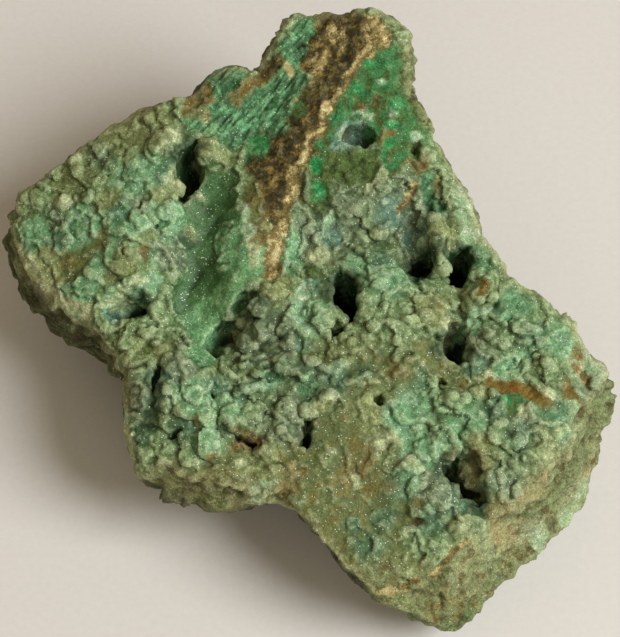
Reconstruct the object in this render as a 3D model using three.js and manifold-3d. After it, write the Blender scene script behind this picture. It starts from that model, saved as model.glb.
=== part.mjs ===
// A garnierite specimen: one broken block of green nickel rock whose upper face is a crust of chalcedony.
// The block is a thick, tilted slab. Its face is high at the back and low at the front, its flanks are undercut
// on the left and spread out on the right, and it rests on a flat break. Open vugs go down into the crust.
// Millimetres, +Z up, with the origin under the middle of the block, on the surface that it rests on.
import * as THREE from "three";
import { ImprovedNoise } from "three/addons/math/ImprovedNoise.js";
import { mergeVertices } from "three/addons/utils/BufferGeometryUtils.js";
import Module from "manifold-3d";

// Driving dimensions of the block.
const detail = 16; // divisions of each edge of the icosahedron that the block is drawn from
const faceMiddleHeight = 31; // height of the upper face over the middle of the block
const faceRiseToBack = 0.27; // rise of the face for each millimetre towards the back
const faceRiseToRight = 0.03;
const leftDroop = 9; // how far the left end of the face sinks
const leftDroopReach = 48; // distance from the middle at which it has sunk that far
const wallShare = 0.5; // share of the icosahedron's lower half that makes the flanks, the rest makes the base
const breakRelief = 0.8; // roughness of the broken surfaces
const breakGrain = 7; // usual distance between two rough spots

// The rim, seen from above and taken round the block from the right: x, y and height of the rim, the width of
// the foot as a share of the rim's distance from the middle, the share of the flank that keeps the rim's width
// before it runs in to the foot, and the width over which the face bends down to the rim.
const rimStations = [
  [31.6, 0.6, 32, 0.86, 0.3, 2], [30.5, 4.2, 33, 0.86, 0.3, 2], [27.7, 6.1, 34, 0.84, 0.3, 2],
  [26.9, 10.3, 34, 0.84, 0.3, 2], [25.0, 14.5, 35, 0.84, 0.3, 2], [21.7, 21.3, 36, 0.86, 0.3, 2],
  [19.0, 27.3, 37, 0.88, 0.3, 2], [15.8, 34.5, 39, 0.9, 0.3, 2], [16.5, 37.5, 42, 0.9, 0.2, 1],
  [16.1, 41.0, 43, 0.9, 0.2, 1], [13.2, 44.6, 44, 0.9, 0.2, 1], [9.5, 45.5, 44, 0.88, 0.2, 1],
  [4.5, 44.8, 43, 0.86, 0.2, 1], [-4.0, 45.8, 42, 0.84, 0.2, 2], [-6.8, 41.8, 39, 0.84, 0.2, 3],
  [-9.6, 37.6, 33, 0.86, 0.3, 2], [-13.2, 38.0, 34, 0.86, 0.3, 2], [-17.5, 38.2, 35, 0.86, 0.3, 2],
  [-21.2, 32.8, 33, 0.84, 0.3, 2], [-30.1, 32.2, 30, 0.82, 0.3, 2], [-38.6, 28.2, 27, 0.8, 0.3, 2],
  [-43.0, 25.0, 25, 0.76, 0.3, 2], [-50.4, 20.4, 22, 0.72, 0.3, 1], [-51.2, 12.2, 20, 0.7, 0.3, 1],
  [-48.0, 5.8, 20, 0.68, 0.35, 1], [-40.6, -1.4, 21, 0.66, 0.35, 1], [-34.6, -5.6, 22, 0.66, 0.25, 1],
  [-31.0, -12.5, 22, 0.7, 0.1, 2], [-30.2, -22.0, 21, 0.68, 0.1, 2], [-28.8, -28.2, 18, 0.7, 0.1, 2],
  [-20.5, -31.0, 17, 0.7, 0.1, 2], [-14.4, -33.0, 16, 0.7, 0.1, 2], [-4.7, -33.6, 19, 0.66, 0, 2],
  [-0.8, -37.6, 20, 0.68, 0, 2], [4.8, -45.0, 19, 0.72, 0, 2], [11.2, -49.2, 16, 0.78, 0, 3],
  [15.5, -50.2, 13, 0.82, 0, 4], [19.5, -51.0, 10, 0.86, 0, 5], [23.5, -51.6, 8, 0.9, 0, 5],
  [26.8, -47.6, 9, 0.9, 0, 6], [33.6, -40.8, 10, 0.9, 0, 7], [39.4, -36.4, 11, 0.88, 0, 7],
  [44.8, -29.6, 13, 0.86, 0.1, 6], [46.6, -22.0, 16, 0.84, 0.1, 5], [48.8, -17.6, 20, 0.84, 0.2, 3],
  [49.9, -13.6, 24, 0.84, 0.2, 1], [45.0, -12.0, 27, 0.84, 0.2, 2], [40.0, -5.4, 30, 0.84, 0.2, 2],
  [34.2, -1.6, 31, 0.86, 0.3, 2],
];

// Swells and hollows of the face: x, y, radius and height, below zero for a hollow.
const swells = [
  [-34, 14, 12, 2.5], [-23, 24, 8, 2], [-27, 8, 7, 1], // lumpy left end
  [-16.5, 14, 5, -4], [-18.5, 5, 5, -4.5], [-20, -3, 5, -3.5], // smooth trough that runs down it
  [-10.5, 12, 4, 1.5], [-14, 1, 4, 1.5], [-17, -10, 5, 2], // spine to the right of the trough
  [-3, 22, 6, 2], [3, 30, 6, 2], [10, 38, 7, 2], // block behind the brown vein
  [-4, 36, 6, 1.5], [-12.6, 35, 4, 2], [-9.6, 36.5, 2.5, -2.5], // two knobs at the back and the notch between them
  [13, 25, 8, 3], [5, 19, 5, 2], // green shoulder
  [5, 9, 7, -3.5], [16, 10, 5, -3], [-2, 6, 4, -2], // sunken band below the shoulder
  [20.5, 6, 3, 2.5], [16.5, 3, 3, -4], [23.5, 2, 3, -4.5], // upright rib between two gaps
  [31, -6, 8, 2], [25, -5, 4, -2], [41, -12, 6, 1.5], // lumps of the right end
  [-14, -8, 5, -5], [-8, -3, 5, 1], [8, -2, 6, 1], // bowl of nodules and the ground around the star vug
  [14, -10, 8, 1.5], [5, -22, 9, 1.5], [6, -36, 7, -1], // olive crust
  [-26, -17, 7, 3.5], [-16, -24, 7, 2], [-23, -26, 5, 1], // front left lobe
  [29, -22, 10, 2.5], [36, -22, 7, 1], [20, -36, 8, -0.5], // front right lumps
];

// Vugs: the middle of the mouth in x and y, half widths across and along, depth, and the turn of the mouth in degrees.
const vugs = [
  [-20.5, 19.5, 2.4, 5.2, 9, -20], // dark cleft in the left end
  [-30.2, -1.6, 4.2, 2.0, 6, 8], // lipped eye near the left flank
  [5.8, -3.0, 2.2, 4.6, 15, 10], // star vug in the middle
  [17.6, 3.4, 2.6, 2.2, 8, 30], // gap left of the rib
  [24.2, 2.6, 2.2, 3.8, 9, -12], // gap right of the rib
  [23.4, -10.4, 3.2, 4.4, 12, 30], // large vug on the right
  [-14.4, -7.0, 3.0, 4.4, 4, -35], // bowl of nodules
  [24.0, -30.4, 3.0, 5.0, 9, 35], // front right vug
  [7.4, 22.6, 3.2, 2.0, 5, -12], // blue pocket in the green shoulder
  [-1.2, -23.4, 1.3, 3.6, 6, -8], // crack beside the olive crust
];

const noise = new ImprovedNoise();

// Rough ground: two scales of noise, about as high as it is deep.
function roughness(point, grain) {
  const coarse = noise.noise(point.x / grain, point.y / grain, point.z / grain);
  const fine = noise.noise((2.3 * point.x) / grain, (2.3 * point.y) / grain, (2.3 * point.z) / grain);
  return coarse + 0.5 * fine;
}

// Where the rim stands in the direction of a turn about the Z axis, with the values of both neighbouring stations mixed.
function rimAt(turn) {
  const full = 2 * Math.PI;
  const turns = rimStations.map(([x, y]) => (Math.atan2(y, x) + full) % full);
  const first = turns.indexOf(Math.min(...turns));
  for (let step = 0; step < rimStations.length; step += 1) {
    const here = (first + step) % rimStations.length;
    const next = (here + 1) % rimStations.length;
    const span = (turns[next] - turns[here] + full) % full;
    const gone = (turn - turns[here] + full) % full;
    if (gone <= span) return mixedStation(rimStations[here], rimStations[next], gone / span);
  }
  return mixedStation(rimStations[first], rimStations[first], 0);
}

function mixedStation(from, to, share) {
  const [x, y, height, foot, keep, bend] = from.map((value, i) => THREE.MathUtils.lerp(value, to[i], share));
  return { reach: Math.hypot(x, y), height, foot, keep, bend };
}

// Height of the upper face before it bends down to the rim.
function faceHeight(x, y) {
  const droop = leftDroop * Math.pow(Math.max(0, -x) / leftDroopReach, 1.5);
  let height = faceMiddleHeight + faceRiseToBack * y + faceRiseToRight * x - droop;
  for (const [cx, cy, radius, rise] of swells) {
    height += rise * Math.exp(-((x - cx) ** 2 + (y - cy) ** 2) / radius ** 2);
  }
  return height;
}

// Carries a point of the unit sphere to the block: the upper half to the face, then the flanks, then the flat base.
function blockPoint(direction) {
  const turn = (Math.atan2(direction.y, direction.x) + 2 * Math.PI) % (2 * Math.PI);
  const rim = rimAt(turn);
  if (direction.z >= 0) {
    const reach = rim.reach * Math.sqrt(1 - direction.z);
    const x = reach * Math.cos(turn);
    const y = reach * Math.sin(turn);
    const bend = THREE.MathUtils.smoothstep(rim.reach - reach, 0, rim.bend);
    return new THREE.Vector3(x, y, THREE.MathUtils.lerp(rim.height, faceHeight(x, y), bend));
  }
  const down = -direction.z / wallShare;
  if (down < 1) {
    const inward = Math.max(0, down - rim.keep) / (1 - rim.keep);
    const reach = rim.reach * THREE.MathUtils.lerp(1, rim.foot, inward);
    return new THREE.Vector3(reach * Math.cos(turn), reach * Math.sin(turn), rim.height * (1 - down));
  }
  const reach = rim.reach * rim.foot * Math.sqrt((1 + direction.z) / (1 - wallShare));
  return new THREE.Vector3(reach * Math.cos(turn), reach * Math.sin(turn), 0);
}

// The block without its vugs. The base stays flat, and the roughness fades out towards it.
function blockGeometry() {
  const geometry = new THREE.IcosahedronGeometry(1, detail);
  const position = geometry.attributes.position;
  const direction = new THREE.Vector3();
  for (let i = 0; i < position.count; i += 1) {
    direction.fromBufferAttribute(position, i).normalize();
    const point = blockPoint(direction);
    const outwards = new THREE.Vector3(direction.x, direction.y, direction.z > 0 ? 1 : 0).normalize();
    const fade = THREE.MathUtils.smoothstep(point.z, 0, 6);
    point.addScaledVector(outwards, breakRelief * fade * roughness(point, breakGrain));
    position.setXYZ(i, point.x, point.y, point.z);
  }
  return geometry;
}

// A rough blob that is sunk into the face so that its upper end opens as the mouth of a vug.
function vugGeometry([x, y, across, along, depth, turn]) {
  const geometry = new THREE.IcosahedronGeometry(1, 4);
  const position = geometry.attributes.position;
  const point = new THREE.Vector3();
  for (let i = 0; i < position.count; i += 1) {
    point.fromBufferAttribute(position, i);
    point.multiplyScalar(1 + 0.22 * roughness(point.clone().addScalar(x), 0.6));
    position.setXYZ(i, point.x, point.y, point.z);
  }
  geometry.scale(across, along, depth);
  geometry.rotateZ(THREE.MathUtils.degToRad(turn));
  geometry.translate(x, y, faceHeight(x, y));
  return geometry;
}

// The geometry as a solid that can be cut.
function solidOf(wasm, geometry) {
  const bare = new THREE.BufferGeometry().setAttribute("position", geometry.getAttribute("position"));
  const merged = mergeVertices(bare, 1e-4);
  const vertProperties = merged.attributes.position.array;
  const triVerts = new Uint32Array(merged.index.array);
  return new wasm.Manifold(new wasm.Mesh({ numProp: 3, vertProperties, triVerts }));
}

function geometryOf(solid) {
  const { vertProperties, triVerts } = solid.getMesh();
  const geometry = new THREE.BufferGeometry();
  geometry.setAttribute("position", new THREE.BufferAttribute(vertProperties, 3));
  geometry.setIndex(new THREE.BufferAttribute(triVerts, 1));
  return geometry;
}

const wasm = await Module();
wasm.setup();

const block = solidOf(wasm, blockGeometry());
const opened = vugs.reduce((stone, vug) => stone.subtract(solidOf(wasm, vugGeometry(vug))), block);
const specimenGeometry = geometryOf(opened);

// The origin goes under the middle of the block.
specimenGeometry.computeBoundingBox();
const middle = specimenGeometry.boundingBox.getCenter(new THREE.Vector3());
specimenGeometry.translate(-middle.x, -middle.y, 0);
specimenGeometry.computeVertexNormals();

const stone = new THREE.MeshStandardMaterial({ color: 0x6d8a70, roughness: 0.62, metalness: 0 });
const specimen = new THREE.Mesh(specimenGeometry, stone);
specimen.name = "garnierite_specimen";

const part = new THREE.Group();
part.add(specimen);
export default part;
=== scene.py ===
import math
import random

import bpy
import numpy as np
from mathutils import Matrix, Vector, noise
from mathutils.bvhtree import BVHTree


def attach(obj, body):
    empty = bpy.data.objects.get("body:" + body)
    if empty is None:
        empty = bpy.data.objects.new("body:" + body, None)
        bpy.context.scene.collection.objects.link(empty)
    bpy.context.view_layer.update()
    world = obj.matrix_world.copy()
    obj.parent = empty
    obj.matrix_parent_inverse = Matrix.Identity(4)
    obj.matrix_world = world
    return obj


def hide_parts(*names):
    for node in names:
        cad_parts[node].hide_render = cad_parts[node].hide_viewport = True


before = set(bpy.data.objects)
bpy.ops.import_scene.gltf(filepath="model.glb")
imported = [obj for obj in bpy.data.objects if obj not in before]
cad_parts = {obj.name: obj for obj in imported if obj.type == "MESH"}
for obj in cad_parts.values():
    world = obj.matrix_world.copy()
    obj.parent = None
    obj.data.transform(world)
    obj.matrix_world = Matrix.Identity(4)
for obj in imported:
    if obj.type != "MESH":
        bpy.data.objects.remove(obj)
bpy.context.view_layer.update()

mm = 0.001


view = {
    "aim": (0.6, 3.2, 18.0),      # millimetres, in the middle of the block
    "elevation": 60.0,            # degrees above the floor
    "distance": 420.0,
    "lens": 142.4,
    "sensor": 36,
    "nearest": 0.01,              # metres
}


def addCamera():
    rise = math.radians(view["elevation"])
    aim = Vector(view["aim"]) * mm
    offset = Vector((0, -math.cos(rise), math.sin(rise))) * view["distance"] * mm
    bpy.ops.object.camera_add(location=aim + offset, rotation=(math.radians(90) - rise, 0, 0))
    camera = bpy.context.object
    camera.data.lens = view["lens"]
    camera.data.sensor_width = view["sensor"]
    camera.data.clip_start = view["nearest"]
    bpy.context.scene.camera = camera
    print("camera added")


light = {
    "key": {"at": (943, -377, 966), "size": 800, "power": 22.0, "colour": (1.0, 1.0, 1.0)},
    "fill": {"at": (60, -560, 460), "size": 420, "power": 0.4, "colour": (1.0, 0.99, 0.98)},
    "sky": (1.0, 0.81, 0.54),
    "skyPower": 0.35,
}


def addLamp(name, lamp):
    place = Vector(lamp["at"]) * mm
    turn = (Vector(view["aim"]) * mm - place).to_track_quat("-Z", "Y")
    bpy.ops.object.light_add(type="AREA", location=place, rotation=turn.to_euler())
    bpy.context.object.name = name
    data = bpy.context.object.data
    data.shape = "DISK"
    data.size = lamp["size"] * mm
    data.energy = lamp["power"]
    data.color = lamp["colour"]


def addLights():
    addLamp("keyLamp", light["key"])
    addLamp("fillLamp", light["fill"])
    world = bpy.data.worlds.new("studio")
    world.use_nodes = True
    sky = world.node_tree.nodes["Background"]
    sky.inputs["Color"].default_value = (*light["sky"], 1)
    sky.inputs["Strength"].default_value = light["skyPower"]
    bpy.context.scene.world = world
    bpy.context.scene.view_settings.view_transform = "Standard"
    print("lights added")


def linear(colour):
    share = [c / 255 for c in colour]
    return tuple(c / 12.92 if c <= 0.04045 else ((c + 0.055) / 1.055) ** 2.4 for c in share)


table = {"size": 4000, "colour": (210, 208, 205), "grain": 900.0, "contrast": 0.05, "roughness": 0.75}


def tableMaterial():
    material = bpy.data.materials.new("table")
    material.use_nodes = True
    nodes, links = material.node_tree.nodes, material.node_tree.links
    shader = nodes["Principled BSDF"]
    shader.inputs["Roughness"].default_value = table["roughness"]
    place = nodes.new("ShaderNodeTexCoord")
    grain = nodes.new("ShaderNodeTexNoise")
    grain.inputs["Scale"].default_value = table["grain"]
    tone = nodes.new("ShaderNodeValToRGB")
    colour = linear(table["colour"])
    tone.color_ramp.elements[0].color = (*[c * (1 - table["contrast"]) for c in colour], 1)
    tone.color_ramp.elements[1].color = (*[c * (1 + table["contrast"]) for c in colour], 1)
    links.new(place.outputs["Object"], grain.inputs["Vector"])
    links.new(grain.outputs["Fac"], tone.inputs["Fac"])
    links.new(tone.outputs["Color"], shader.inputs["Base Color"])
    return material


def addTable():
    bpy.ops.mesh.primitive_plane_add(size=table["size"] * mm, location=(0, 0, 0))
    floor = bpy.context.object
    floor.name = "table"
    floor.data.materials.append(tableMaterial())
    print("table added")


# Open gaps of the crust, in millimetres: x, y, half widths across and along, depth, and the turn of the
# mouth in degrees.
gaps = [
    (-19.4, 23.2, 1.5, 4.2, 6, -30),       # cleft in the left end
    (-28.0, 1.4, 3.3, 1.7, 6, 8),          # lipped eye
    (6.2, 1.2, 2.4, 3.8, 15, 6),           # star vug
    (4.9, -5.4, 1.9, 2.0, 6, 0),
    (18.9, 5.8, 1.6, 1.9, 8, 0),           # both sides of the rib
    (24.8, 5.8, 1.6, 2.6, 9, -12),
    (24.0, -8.4, 2.4, 3.8, 12, 10),        # large vug on the right
    (-10.6, -2.6, 3.7, 5.6, 4.0, -36),      # bowl of nodules
    (23.0, -27.2, 1.7, 3.2, 9, 10),        # front right vug
    (26.2, -32.0, 2.8, 1.5, 7, -12),
    (9.3, 24.4, 1.3, 1.6, 5, 0),           # blue pocket
    (0.0, -22.0, 1.0, 3.0, 6, -4),         # crack beside the olive plate
    (33.2, -12.3, 2.4, 0.8, 3, 32),        # slot
    (21.4, -14.9, 1.0, 1.4, 4, 0),
    (11.6, -17.0, 1.5, 1.2, 3, 0),
    (16.6, -21.4, 0.6, 0.8, 2.5, 0),
    (32.0, -21.4, 0.8, 1.1, 2.5, 20),
    (39.3, -26.6, 0.9, 1.1, 2, -30),
    (17.6, -45.0, 0.6, 1.5, 2, 0),
    (21.7, -47.2, 1.0, 2.2, 3, 12),
    (-9.6, -22.6, 2.8, 0.8, 4, -22),
    (-5.2, -23.6, 1.1, 0.7, 3, -10),
    (-14.7, -16.0, 0.5, 1.8, 3, 30),
    (-21.2, -21.2, 2.0, 0.9, 3, 24),
    (-26.2, -21.4, 1.2, 1.2, 3, 0),
    (-24.2, -12.0, 0.9, 3.2, 3, -8),
    (-28.6, -9.8, 0.9, 1.0, 2.5, 0),
    (-15.8, -25.4, 1.2, 0.6, 3, -15),
    (-8.8, -8.4, 0.9, 0.9, 3, 0),
    (-4.6, -6.2, 0.7, 1.1, 3, 0),
    (-25.4, 13.6, 0.7, 2.8, 2, 46),
    (-33.0, 22.4, 0.7, 0.6, 2, 0),
    (-28.4, 6.0, 1.3, 0.5, 2, 8),
    (22.2, 19.3, 0.6, 0.8, 2, 0),
    (18.3, 23.0, 1.4, 1.0, 2.5, 10),
    (-0.8, 41.3, 0.8, 0.5, 1.5, 0),
    (32.0, -5.4, 1.4, 0.9, 3, 15),
    (4.7, -16.4, 0.6, 0.7, 2, 0),
]

# Hollows under a lip: x, y, half widths across and along, half height, turn, and how deep the middle lies.
hollows = [
    (-12.6, -2.6, 2.0, 5.4, 1.9, -29, 3.2),   # under the bowl's lip
    (-28.0, 2.4, 3.0, 1.6, 1.4, 8, 2.6),      # under the eye's lip
    (-19.6, -22.6, 2.6, 1.6, 1.0, 24, 1.8),
    (-8.4, -23.4, 3.4, 1.5, 1.2, -12, 1.9),
    (21.2, -30.6, 2.4, 1.6, 1.2, 0, 2.0),
    (22.4, -9.0, 1.8, 3.6, 2.4, 10, 4.0),
]

# Knobs that stand out: x, y, radius, and how proud each is, which knobRise makes less.
knobs = [
    (-23.2, 26.0, 2.3, 2.2), (-15.6, 24.6, 2.7, 1.7), (-22.0, 20.0, 1.6, 1.5), (-17.4, 18.6, 0.9, 0.9),
    (-44.0, 21.0, 1.5, 1.3), (-40.3, 19.0, 1.3, 1.3), (-38.5, 26.3, 1.0, 1.2), (-37.9, 24.2, 1.1, 0.9),
    (-36.0, 19.2, 0.8, 0.8), (-45.5, 17.0, 2.0, 1.0), (-29.0, 17.0, 1.5, 1.2), (-22.2, 15.2, 2.2, 1.3),
    (-28.2, 12.0, 2.3, 0.9), (-30.4, 7.2, 1.3, 1.1), (-28.4, 8.4, 1.2, 1.0), (-23.0, 3.4, 1.5, 1.1),
    (-21.4, 5.8, 1.3, 0.9), (-34.4, 6.0, 1.4, 0.9), (-41.5, 3.6, 1.1, 0.8),
    (-23.4, -7.2, 1.5, 1.0), (-21.0, -10.5, 2.2, 1.4), (-22.2, -15.6, 2.2, 1.5), (-26.4, -15.4, 1.8, 1.2),
    (-18.0, -16.8, 2.6, 2.0), (-16.2, -19.2, 1.6, 1.5), (-15.6, -23.2, 2.2, 1.4), (-18.6, -25.4, 1.9, 1.0),
    (-11.0, -26.4, 1.2, 1.1), (-7.6, -27.2, 1.3, 0.9), (-13.0, -12.4, 1.3, 1.1), (-11.6, -19.6, 1.9, 1.4),
    (-4.6, -21.2, 2.9, 1.8), (-8.6, -18.6, 1.8, 1.3), (-2.6, -18.2, 2.0, 1.3), (-6.4, -25.0, 1.6, 0.9),
    (-12.4, -4.8, 2.2, 1.7), (-9.4, -6.0, 1.6, 1.5), (-6.8, -4.4, 1.8, 1.6), (-8.0, -1.4, 1.9, 1.3),
    (-10.6, -2.4, 1.5, 1.1), (-11.4, -7.6, 1.5, 1.1), (-8.4, -3.6, 1.2, 1.0), (-9.6, 0.4, 1.2, 0.8),
    (-5.4, 0.6, 2.1, 1.3), (-2.4, -7.0, 1.6, 0.9), (3.3, 1.4, 1.3, 1.0), (2.4, -3.2, 1.9, 0.8),
    (2.0, 8.4, 1.9, 1.3), (0.9, 5.0, 1.1, 1.2), (11.9, 11.4, 0.9, 1.1), (13.2, 2.0, 2.8, 0.9),
    (12.2, -3.4, 0.7, 0.6), (19.0, -1.4, 1.2, 1.2), (21.2, -2.2, 1.5, 1.4), (19.4, -3.8, 1.1, 1.0),
    (22.9, -4.6, 1.5, 1.5), (21.8, -6.0, 1.1, 0.9), (28.0, -9.6, 2.6, 1.7), (31.0, -8.0, 2.0, 1.2),
    (29.0, -14.2, 0.8, 0.9), (27.4, -16.8, 1.0, 1.0), (38.4, -17.2, 1.0, 1.1), (46.4, -14.0, 1.4, 1.3),
    (46.2, -17.2, 1.3, 1.1), (41.6, -22.6, 1.2, 1.2), (40.8, -25.0, 1.5, 1.0), (43.2, -20.0, 1.3, 0.8),
    (11.3, -24.2, 1.0, 1.3), (13.4, -22.8, 0.8, 1.0), (16.6, -27.4, 1.7, 1.3), (14.6, -24.0, 1.1, 1.0),
    (18.6, -24.8, 1.7, 1.1), (21.8, -23.8, 2.6, 1.6), (17.4, -29.8, 1.4, 0.9), (15.2, -28.0, 1.3, 0.9),
    (27.4, -27.0, 3.0, 2.2), (29.6, -29.6, 1.8, 1.2), (18.2, -33.4, 1.9, 1.5), (21.2, -31.4, 2.5, 1.2),
    (24.6, -36.6, 1.7, 1.3), (26.6, -36.2, 1.1, 1.0), (30.2, -31.6, 1.6, 1.0), (23.2, -21.4, 1.4, 0.9),
    (26.0, -23.4, 1.3, 1.0), (33.6, -24.0, 1.6, 0.9), (11.6, -38.6, 1.3, 0.7), (7.0, -38.2, 0.9, 0.5),
]

# Low plates with scalloped edges: x, y, half widths across and along, how far proud, and the turn in degrees.
plates = [
    (2.2, -17.6, 2.8, 1.3, 1.2, 32), (-8.0, -14.6, 3.2, 0.7, 1.7, 14), (-7.6, -12.4, 2.2, 0.5, 1.3, 16),
    (-14.0, -27.6, 4.6, 2.6, 0.8, 4), (-6.0, -28.4, 4.4, 2.2, 0.9, 24), (-9.0, -10.2, 3.2, 1.8, 1.0, 10),
    (-1.2, -11.0, 3.4, 2.2, 0.9, -8), (4.2, -11.6, 2.4, 2.0, 0.9, 30), (8.4, -8.6, 3.6, 2.2, 0.8, 18),
    (14.0, -6.0, 3.8, 2.4, 0.8, 0), (16.0, -12.0, 3.6, 1.6, 0.9, 24), (3.4, -24.6, 1.6, 2.6, 0.7, 8),
    (24.2, -17.6, 2.2, 1.2, 1.2, -12), (31.6, -18.8, 3.0, 1.6, 0.9, -20), (28.6, 0.6, 2.4, 4.4, 1.2, -12),
    (-29.4, 4.4, 3.4, 0.8, 1.1, 10), (-27.8, -4.0, 2.2, 2.4, 0.9, 0), (21.6, 8.6, 1.2, 6.4, 1.6, 3),
    (36.0, -7.6, 3.2, 1.6, 1.0, -20), (38.2, -12.6, 2.2, 1.3, 1.0, -40), (9.2, -14.0, 3.0, 1.4, 0.7, 10),
    (-20.6, -28.2, 2.6, 1.6, 0.8, -20), (35.0, -27.6, 3.0, 1.6, 0.8, -30), (14.0, -36.0, 3.2, 2.2, 0.6, 0),
]

# What the ground is made of: its colour, the colour of its flecks, and as measures the height of its lumps,
# its grain, its fibres and its drusy sparkle. Two of them are only painted shade, for holes and recesses.
grounds = {
    "sage": {"colour": (102, 123, 80), "fleck": (126, 144, 102), "measures": (1.0, 0.5, 0.0, 1.0)},
    "grey": {"colour": (95, 110, 80), "fleck": (117, 130, 101), "measures": (0.9, 0.45, 0.0, 0.9)},
    "mint": {"colour": (108, 149, 106), "fleck": (134, 166, 132), "measures": (0.8, 0.45, 0.0, 1.0)},
    "spine": {"colour": (100, 144, 98), "fleck": (134, 170, 124), "measures": (0.15, 0.4, 0.0, 1.7)},
    "paleMint": {"colour": (142, 172, 132), "fleck": (196, 210, 178), "measures": (0.4, 0.4, 0.0, 0.6)},
    "teal": {"colour": (66, 106, 70), "fleck": (112, 164, 118), "measures": (0.1, 0.7, 1.0, 0.4)},
    "trough": {"colour": (68, 100, 60), "fleck": (84, 118, 76), "measures": (0.12, 0.4, 0.0, 1.6)},
    # painted shade: a very dark green put in holes and vugs, where the shade falls
    "paintedHoleShade": {"colour": (14, 46, 18), "fleck": (36, 62, 30), "measures": (0.3, 0.3, 0.0, 0.2)},
    "bluish": {"colour": (72, 104, 76), "fleck": (104, 138, 108), "measures": (0.5, 0.5, 0.0, 1.0)},
    # painted shade: a dark grey-green put in the bowl and other recesses under lips
    "paintedRecessShade": {"colour": (66, 84, 56), "fleck": (92, 110, 82), "measures": (0.5, 0.4, 0.0, 0.8)},
    "olive": {"colour": (98, 109, 67), "fleck": (112, 108, 60), "measures": (0.3, 0.6, 0.0, 0.9)},
    "khaki": {"colour": (117, 125, 80), "fleck": (142, 150, 104), "measures": (0.6, 0.6, 0.0, 0.7)},
    "pale": {"colour": (152, 160, 120), "fleck": (192, 196, 154), "measures": (0.4, 0.4, 0.0, 0.6)},
    "rust": {"colour": (114, 110, 66), "fleck": (112, 90, 46), "measures": (0.5, 0.8, 0.1, 0.4)},
    "tan": {"colour": (122, 104, 62), "fleck": (216, 198, 144), "measures": (0.2, 1.5, 0.4, 0.0)},
    "cream": {"colour": (208, 188, 132), "fleck": (228, 214, 166), "measures": (0.1, 1.3, 0.3, 0.0)},
    "brown": {"colour": (64, 54, 26), "fleck": (136, 116, 66), "measures": (0.2, 1.9, 0.4, 0.0)},
    "black": {"colour": (34, 31, 16), "fleck": (70, 60, 30), "measures": (0.2, 1.7, 0.3, 0.0)},
    "emerald": {"colour": (70, 126, 76), "fleck": (82, 92, 44), "measures": (0.2, 1.7, 0.1, 0.1)},
    "vivid": {"colour": (46, 136, 76), "fleck": (104, 176, 118), "measures": (0.2, 1.5, 0.0, 0.1)},
    "moss": {"colour": (86, 106, 54), "fleck": (50, 64, 26), "measures": (0.2, 2.0, 0.0, 0.1)},
    "rind": {"colour": (128, 136, 94), "fleck": (102, 88, 48), "measures": (0.2, 1.8, 0.3, 0.1)},
    "blue": {"colour": (86, 120, 100), "fleck": (132, 162, 142), "measures": (0.2, 0.3, 0.0, 0.9)},
    "orange": {"colour": (122, 100, 46), "fleck": (116, 82, 30), "measures": (0.2, 1.0, 0.5, 0.1)},
    "chips": {"colour": (122, 132, 90), "fleck": (88, 82, 46), "measures": (0.0, 1.7, 0.3, 0.0)},
    # dark rock of the flank on the left: its own dark brown made darker with painted shade, as that side
    # faces away from the key lamp
    "flank": {"colour": (60, 56, 30), "fleck": (92, 100, 54), "measures": (0.0, 1.9, 0.3, 0.0)},
}

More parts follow.
